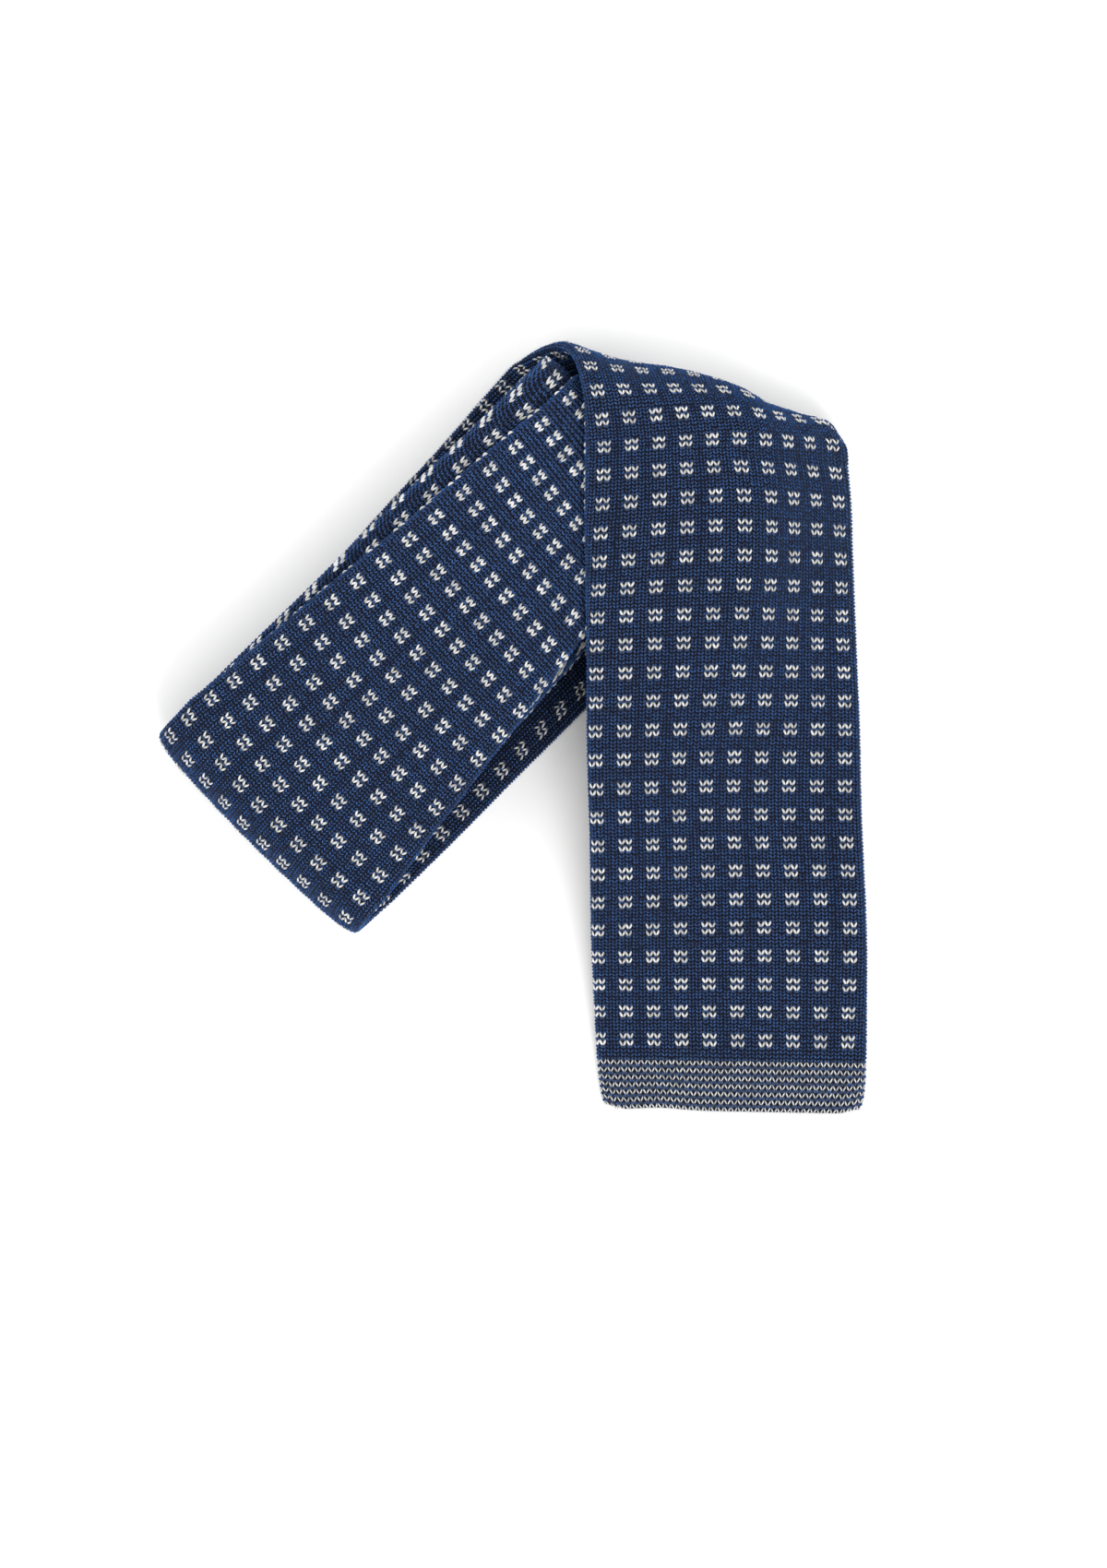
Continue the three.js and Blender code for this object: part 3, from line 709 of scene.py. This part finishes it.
def legs(name, chosen, shape, sides):
    """One joined mesh with the two yarn legs of each chosen stitch."""
    wale, line = wale_numbers[chosen], line_numbers[chosen]
    count, stations = 2 * len(wale), len(shape)
    mirror = np.tile([-1.0, 1.0], len(wale))[:, None]
    wale, line = np.repeat(wale, 2)[:, None], np.repeat(line, 2)[:, None]
    loose = np.repeat(random.normal(0, 1, (count // 2, 3)), 2, axis=0)
    course = line + 0.5 + shape[:, 1] + LOOSE_COURSE * loose[:, :1]
    outward = shape[:, 0] + random.normal(0, LEG_OFF, (count, 1))
    around = wale + 0.5 + LOOSE_WALE * loose[:, 1:2] + mirror * outward
    around = around - roll(course)
    lift = shape[:, 2] + LOOSE_LIFT * loose[:, 2:] + swell(around, course)
    centres, normals = skin(around, course, SKIN + lift)
    radius = shape[:, 3] * (1 + random.normal(0, RADIUS_OFF, (count, 1)))
    tangent = np.gradient(centres, axis=1)
    tangent /= np.linalg.norm(tangent, axis=-1, keepdims=True)
    sideways = np.cross(tangent, normals)
    sideways /= np.linalg.norm(sideways, axis=-1, keepdims=True)
    upward = np.cross(sideways, tangent)
    turn = math.pi / 2 + 2 * math.pi * np.arange(sides) / sides
    rings = centres[:, 1:-1, None] + radius[:, 1:-1, None, None] * (
        np.cos(turn)[:, None] * sideways[:, 1:-1, None] + np.sin(turn)[:, None] * upward[:, 1:-1, None])
    points = np.concatenate([centres[:, :1], rings.reshape(count, -1, 3), centres[:, -1:]], axis=1)
    per_leg = points.shape[1]
    faces = []
    for side in range(sides):
        a, b = 1 + side, 1 + (side + 1) % sides
        faces.append((0, a, b))
        for ring in range(stations - 3):
            low_a, low_b = a + ring * sides, b + ring * sides
            high_a, high_b = low_a + sides, low_b + sides
            faces += [(low_a, high_a, high_b), (low_a, high_b, low_b)]
        last = (stations - 3) * sides
        faces.append((per_leg - 1, b + last, a + last))
    faces = np.array(faces)
    length = np.concatenate([[0], np.repeat(np.arange(1, stations - 1), sides), [stations - 1]])
    length = length / (stations - 1)
    girth = np.concatenate([[0], np.tile(np.arange(sides) / sides, stations - 2), [0]])
    uv = np.stack([girth, length], axis=-1)[faces]
    all_faces = (faces[None] + np.arange(count)[:, None, None] * per_leg).reshape(-1, 3)
    tone = np.clip(0.5 + TONE_SPREAD * random.normal(0, 1, (count, 1)) + TONE_LOOSE * loose[:, :1], 0, 1)
    return mesh_piece(name, points.reshape(-1, 3), all_faces, uv=np.tile(uv, (count, 1, 1)),
                      tone=np.repeat(tone, per_leg, axis=1))


print("triangles in a leg", 3 * 2 * (len(NAVY_LEG) - 2), "navy,", 4 * 2 * (len(WHITE_LEG) - 2), "off-white")

# %% [markdown]
# ## Knit the tie
# The stitches in sight are shared out by place and colour. No piece is then too heavy to handle, a
# colour is a material, and the sides of the stack, seen only at a slant, get a simpler leg.

# %% Knit the loops in sight
# Courses where the blade is halved, and where the stack begins
BLADE_HALF, STACK_START = 95, 232
TOP_LAYER = (courses[bottom.stop + FOLD_STEPS // 2].min(), courses[top_start + LAYER_STEPS].max())
in_welt = line_numbers < WELT_COURSES
on_top = (line_numbers >= TOP_LAYER[0]) & (line_numbers < TOP_LAYER[1])
in_stack = line_numbers >= STACK_START
plans = {
    "welt_navy_loops": (in_welt & ~white, NAVY_LEG, 3),
    "welt_white_loops": (in_welt & white, WELT_LEG, 4),
    "blade_front_loops": (~in_welt & (line_numbers < BLADE_HALF) & ~white, NAVY_LEG, 3),
    "blade_back_loops": ((line_numbers >= BLADE_HALF) & ~in_stack & ~white, NAVY_LEG, 3),
    "blade_spots": (~in_welt & ~in_stack & white, WHITE_LEG, 4),
    "top_layer_loops": (on_top & ~white, NAVY_LEG, 3),
    "stack_side_loops": (in_stack & ~on_top & ~white, SIMPLE_LEG, 3),
    "stack_spots": (in_stack & white, WHITE_LEG, 4)}
loops = {name: legs(name, seen & chosen, shape, sides) for name, (chosen, shape, sides) in plans.items()}
print("triangles of all the loops", sum(len(piece.data.polygons) for piece in loops.values()))

# %% [markdown]
# ## Colours and materials
# Colours are picked as sRGB hex values, as on a screen, and turned to linear light, which is what the
# renderer adds up. Wool is matt, with a soft pale sheen where the light grazes its fuzz.

# %% Helpers for materials
def linear(hex_colour):
    """Linear RGBA of an sRGB hex colour."""
    parts = [int(hex_colour[i:i + 2], 16) / 255 for i in (1, 3, 5)]
    return (*(c / 12.92 if c <= 0.04045 else ((c + 0.055) / 1.055) ** 2.4 for c in parts), 1)


def add_node(tree, kind, sockets=None, **settings):
    """A node with its settings, and its inputs set to values or linked to other nodes' outputs."""
    node = tree.nodes.new(kind)
    for name, value in settings.items():
        setattr(node, name, value)
    for key, value in (sockets or {}).items():
        if isinstance(value, bpy.types.NodeSocket):
            tree.links.new(value, node.inputs[key])
        else:
            node.inputs[key].default_value = value
    return node


def new_material(name, roughness, sheen, sheen_tint):
    """A matt wool material, and its shader whose colour and bump are still to be made."""
    material = bpy.data.materials.new(name)
    material.use_nodes = True
    material.node_tree.nodes.clear()
    shader = add_node(material.node_tree, "ShaderNodeBsdfPrincipled", {
        "Roughness": roughness, "Specular IOR Level": 0.25, "Sheen Weight": sheen, "Sheen Roughness": 0.3,
        "Sheen Tint": linear(sheen_tint)})
    add_node(material.node_tree, "ShaderNodeOutputMaterial", {"Surface": shader.outputs[0]})
    return material, material.node_tree, shader


print("navy in linear light", [round(v, 3) for v in linear("#22508e")[:3]])

# %% [markdown]
# ### Spun wool
# The yarn is woollen-spun: short fibres, lightly twisted, dyed in the fleece, so that each stretch of
# yarn has a tone of its own and pale fibres show in it. The tone comes from an attribute of each leg,
# the fibres from a fine noise, and a slow noise shades the whole cloth.

# %% Yarn materials
# A wool fibre is 0.02 mm thick, too fine to show, so the fibres are drawn as specks of 0.12 mm
FIBRE_SCALE = 1 / (0.12 * MM)
# Shading that wanders over the cloth every 22 mm keeps it from looking printed
CLOTH_SCALE, CLOTH_SHARE = 1 / (22 * MM), 0.35


def yarn_material(name, dark, pale, fleck, roughness, sheen, sheen_tint, relief):
    material, tree, shader = new_material(name, roughness, sheen, sheen_tint)
    place = add_node(tree, "ShaderNodeTexCoord").outputs["Object"]
    tone = add_node(tree, "ShaderNodeAttribute", attribute_name="tone").outputs["Fac"]
    cloth = add_node(tree, "ShaderNodeTexNoise", {"Vector": place, "Scale": CLOTH_SCALE, "Detail": 2.0})
    fibre = add_node(tree, "ShaderNodeTexNoise", {
        "Vector": place, "Scale": FIBRE_SCALE, "Detail": 3.0, "Roughness": 0.65})
    slow = add_node(tree, "ShaderNodeMath", {
        0: cloth.outputs["Fac"], 1: CLOTH_SHARE, 2: tone}, operation="MULTIPLY_ADD")
    share = add_node(tree, "ShaderNodeMath", {
        0: slow.outputs[0], 1: CLOTH_SHARE / 2}, operation="SUBTRACT", use_clamp=True)
    body = add_node(tree, "ShaderNodeMix", {
        0: share.outputs[0], 6: linear(dark), 7: linear(pale)}, data_type="RGBA")
    flecks = add_node(tree, "ShaderNodeMapRange", {0: fibre.outputs["Fac"], 1: 0.52, 2: 0.75, 3: 0.0, 4: 0.6})
    colour = add_node(tree, "ShaderNodeMix", {
        0: flecks.outputs[0], 6: body.outputs[2], 7: linear(fleck)}, data_type="RGBA")
    bump = add_node(tree, "ShaderNodeBump", {
        "Height": fibre.outputs["Fac"], "Strength": 0.6, "Distance": relief * MM})
    tree.links.new(colour.outputs[2], shader.inputs["Base Color"])
    tree.links.new(bump.outputs[0], shader.inputs["Normal"])
    return material


# Dyed wool: deep blue with paler fibres, and a bluish bloom where the cloth turns away from the eye
navy_wool = yarn_material(
    "navy_woollen_spun_yarn", "#021840", "#22508e", "#5885c2", 0.85, 0.65, "#86a4d8", 0.06)
# Undyed wool: a chalky off-white whose tone wanders a little from loop to loop
white_wool = yarn_material(
    "undyed_woollen_spun_yarn", "#9fa0a2", "#d6d6d6", "#f0f0ee", 0.8, 0.2, "#ffffff", 0.06)
print("materials of the yarn", navy_wool.name, white_wool.name)

# %% [markdown]
# ### The knitted ground
# Under the loops and deep in the folds the fabric itself shows. Its material knits the same V pattern
# from the UV map: within a wale, the course number falls with the distance from the wale's middle, and
# the rest after whole courses is the way across one leg. That gives the relief, painted shade that
# darkens the lines between legs, and the same spots or stripes.

# %% Fabric materials
# Courses by which a leg leans over the width of a wale
LEG_SLOPE = 3.0
# Keeps numbers positive before a remainder is taken: both are whole repeats
COURSE_LIFT, WALE_LIFT = 40, 160


def knit_material(name, striped):
    material, tree, shader = new_material(name, 0.9, 0.3, "#8fa5d6")

    def math_node(operation, *values):
        return add_node(tree, "ShaderNodeMath", dict(enumerate(values)), operation=operation).outputs[0]

    uv = add_node(tree, "ShaderNodeUVMap", uv_map="Knit").outputs[0]
    split = add_node(tree, "ShaderNodeSeparateXYZ", {0: uv})
    wale, course = split.outputs[0], split.outputs[1]
    off_middle = math_node("ABSOLUTE", math_node("SUBTRACT", math_node("FRACT", wale), 0.5))
    leaned = math_node("SUBTRACT", course, math_node("MULTIPLY", off_middle, LEG_SLOPE))
    leaned = math_node("ADD", leaned, LEG_SLOPE / 4 + COURSE_LIFT)
    ridge = math_node("SINE", math_node("MULTIPLY", math_node("FRACT", leaned), math.pi))
    valley = math_node("SINE", math_node("MULTIPLY", off_middle, 2 * math.pi))
    height = math_node("MULTIPLY", ridge, math_node("POWER", valley, 0.5))
    number = math_node("SUBTRACT", math_node("FLOOR", leaned), COURSE_LIFT)
    if striped:
        in_pair = math_node("MODULO", math_node("ADD", number, COURSE_LIFT), 2)
        white_here = math_node("LESS_THAN", in_pair, 0.5)
    else:
        from_spot = math_node("ADD", number, 2 * COURSE_LIFT - FIRST_SPOT_COURSE)
        in_repeat = math_node("MODULO", from_spot, SPOT_COURSES)
        first = math_node("COMPARE", in_repeat, 0, 0.3)
        third = math_node("COMPARE", in_repeat, 2, 0.3)
        whole_wale = math_node("FLOOR", math_node("ADD", wale, WALE_LIFT))
        in_spot = math_node("LESS_THAN", math_node("MODULO", whole_wale, SPOT_WALES), 1.5)
        white_here = math_node("MULTIPLY", math_node("ADD", first, third), in_spot)
    # Painted shade: the navy and grey ground colours are darker than their yarn, standing in for the shade
    # between the loops
    colour = add_node(tree, "ShaderNodeMix", {
        0: white_here, 6: linear("#030c22"), 7: linear("#56585f")}, data_type="RGBA")
    place = add_node(tree, "ShaderNodeTexCoord").outputs["Object"]
    fibre = add_node(tree, "ShaderNodeTexNoise", {"Vector": place, "Scale": FIBRE_SCALE, "Detail": 3.0})
    # Painted shade: the colour falls to 0.35 of itself where the relief is low, between the legs
    shade = add_node(tree, "ShaderNodeMapRange", {0: height, 1: 0.0, 2: 0.9, 3: 0.35, 4: 1.0})
    fleck = add_node(tree, "ShaderNodeMapRange", {0: fibre.outputs["Fac"], 1: 0.3, 2: 0.7, 3: 0.8, 4: 1.2})
    both = math_node("MULTIPLY", shade.outputs[0], fleck.outputs[0])
    shaded = add_node(tree, "ShaderNodeVectorMath", {0: colour.outputs[2], "Scale": both}, operation="SCALE")
    bump = add_node(tree, "ShaderNodeBump", {"Height": height, "Strength": 0.8, "Distance": 0.3 * MM})
    tree.links.new(shaded.outputs[0], shader.inputs["Base Color"])
    tree.links.new(bump.outputs[0], shader.inputs["Normal"])
    return material


# Both grounds are painted darker than the yarn on them: painted shade for what the eye meets deep between the
# loops
spotted_ground = knit_material("spotted_stocking_stitch", False)
striped_ground = knit_material("striped_stocking_stitch", True)
tube.data.materials.append(spotted_ground)
welt.data.materials.append(striped_ground)
for name, piece in loops.items():
    piece.data.materials.append(white_wool if "spots" in name or "white" in name else navy_wool)
print("materials", [m.name for m in bpy.data.materials if m.name.endswith(("yarn", "stitch"))])

# %% [markdown]
# ## The table
# The tie lies on something plain and pale. A large plane with a matt white, like card, keeps its colour
# out of the wool and shows where the cloth touches down by its soft shadow.

# %% Table
bpy.ops.object.select_all(action="DESELECT")
bpy.ops.mesh.primitive_plane_add(size=30)
table = bpy.context.active_object
table.name = "table"
paper = bpy.data.materials.new("matt_white_table")
paper.use_nodes = True
paper_shader = paper.node_tree.nodes["Principled BSDF"]
paper_shader.inputs["Base Color"].default_value = linear("#f2f2f1")
paper_shader.inputs["Roughness"].default_value = 0.9
table.data.materials.append(paper)
print("table", round(table.dimensions.x), "m wide")

# %% [markdown]
# ## The light
# Product photographs are lit by large softboxes and a bright room, so shadows are soft. One softbox
# stands at the upper right, a weaker one at the left, and the strongest shines from the near side, into
# the gap beside the stack. Their sizes and distances are in metres and their powers in watts.

# %% Lights
KEY, FILL, NEAR = (0.9, 0.8, 1.3), (-1.1, 0.3, 1.1), (0.45, -1.1, 1.4)


def softbox(name, place, size, power):
    """A square lamp that looks at the tie."""
    lamp = bpy.data.lights.new(name, "AREA")
    lamp.size, lamp.energy = size, power
    holder = bpy.data.objects.new(name, lamp)
    bpy.context.collection.objects.link(holder)
    holder.location = place
    holder.rotation_euler = (-Vector(place)).to_track_quat("-Z", "Y").to_euler()
    return holder


softbox("key_softbox", KEY, size=0.9, power=9)
softbox("fill_softbox", FILL, size=1.0, power=6)
softbox("front_softbox", NEAR, size=1.0, power=18)
world = bpy.data.worlds.new("studio")
bpy.context.scene.world = world
world.use_nodes = True
world.node_tree.nodes["Background"].inputs["Color"].default_value = (1, 1, 1, 1)
world.node_tree.nodes["Background"].inputs["Strength"].default_value = 1.0
bpy.context.scene.view_settings.view_transform = "Standard"

# %% [markdown]
# ## The camera
# The photograph looks straight down. The camera stands far off with a long lens, which keeps the outline
# as flat as the photograph's, and its lens follows from the millimetres that the frame has to cover.

# %% Camera
# The photograph is 1200 by 1700 pixels, and a pixel is 0.2027 mm on the table
PIXEL, FRAME_HIGH = 0.2027 * MM, 1700
FRAME_MIDDLE_X, FRAME_MIDDLE_Y = 45.5 * PIXEL, -60 * PIXEL
DISTANCE, SENSOR, HALF_STACK = 6.0, 36, 0.012
camera_data = bpy.data.cameras.new("camera")
camera_data.sensor_width = SENSOR
camera_data.lens = SENSOR * DISTANCE / (PIXEL * FRAME_HIGH)
camera_data.clip_end = 20
camera = bpy.data.objects.new("camera", camera_data)
bpy.context.collection.objects.link(camera)
camera.location = (FRAME_MIDDLE_X, FRAME_MIDDLE_Y, DISTANCE + HALF_STACK)
bpy.context.scene.camera = camera
print("lens", round(camera_data.lens), "mm")

# %% [markdown]
# ## Hand over to the frame
# Every piece rides on the one body, and the two fabrics stand in for the CAD solids, which are hidden.

# %% Attach the pieces and hide the CAD solids
for piece in (tube, welt, *loops.values()):
    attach(piece, "root")
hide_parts("spotted_tube")
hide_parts("striped_welt")
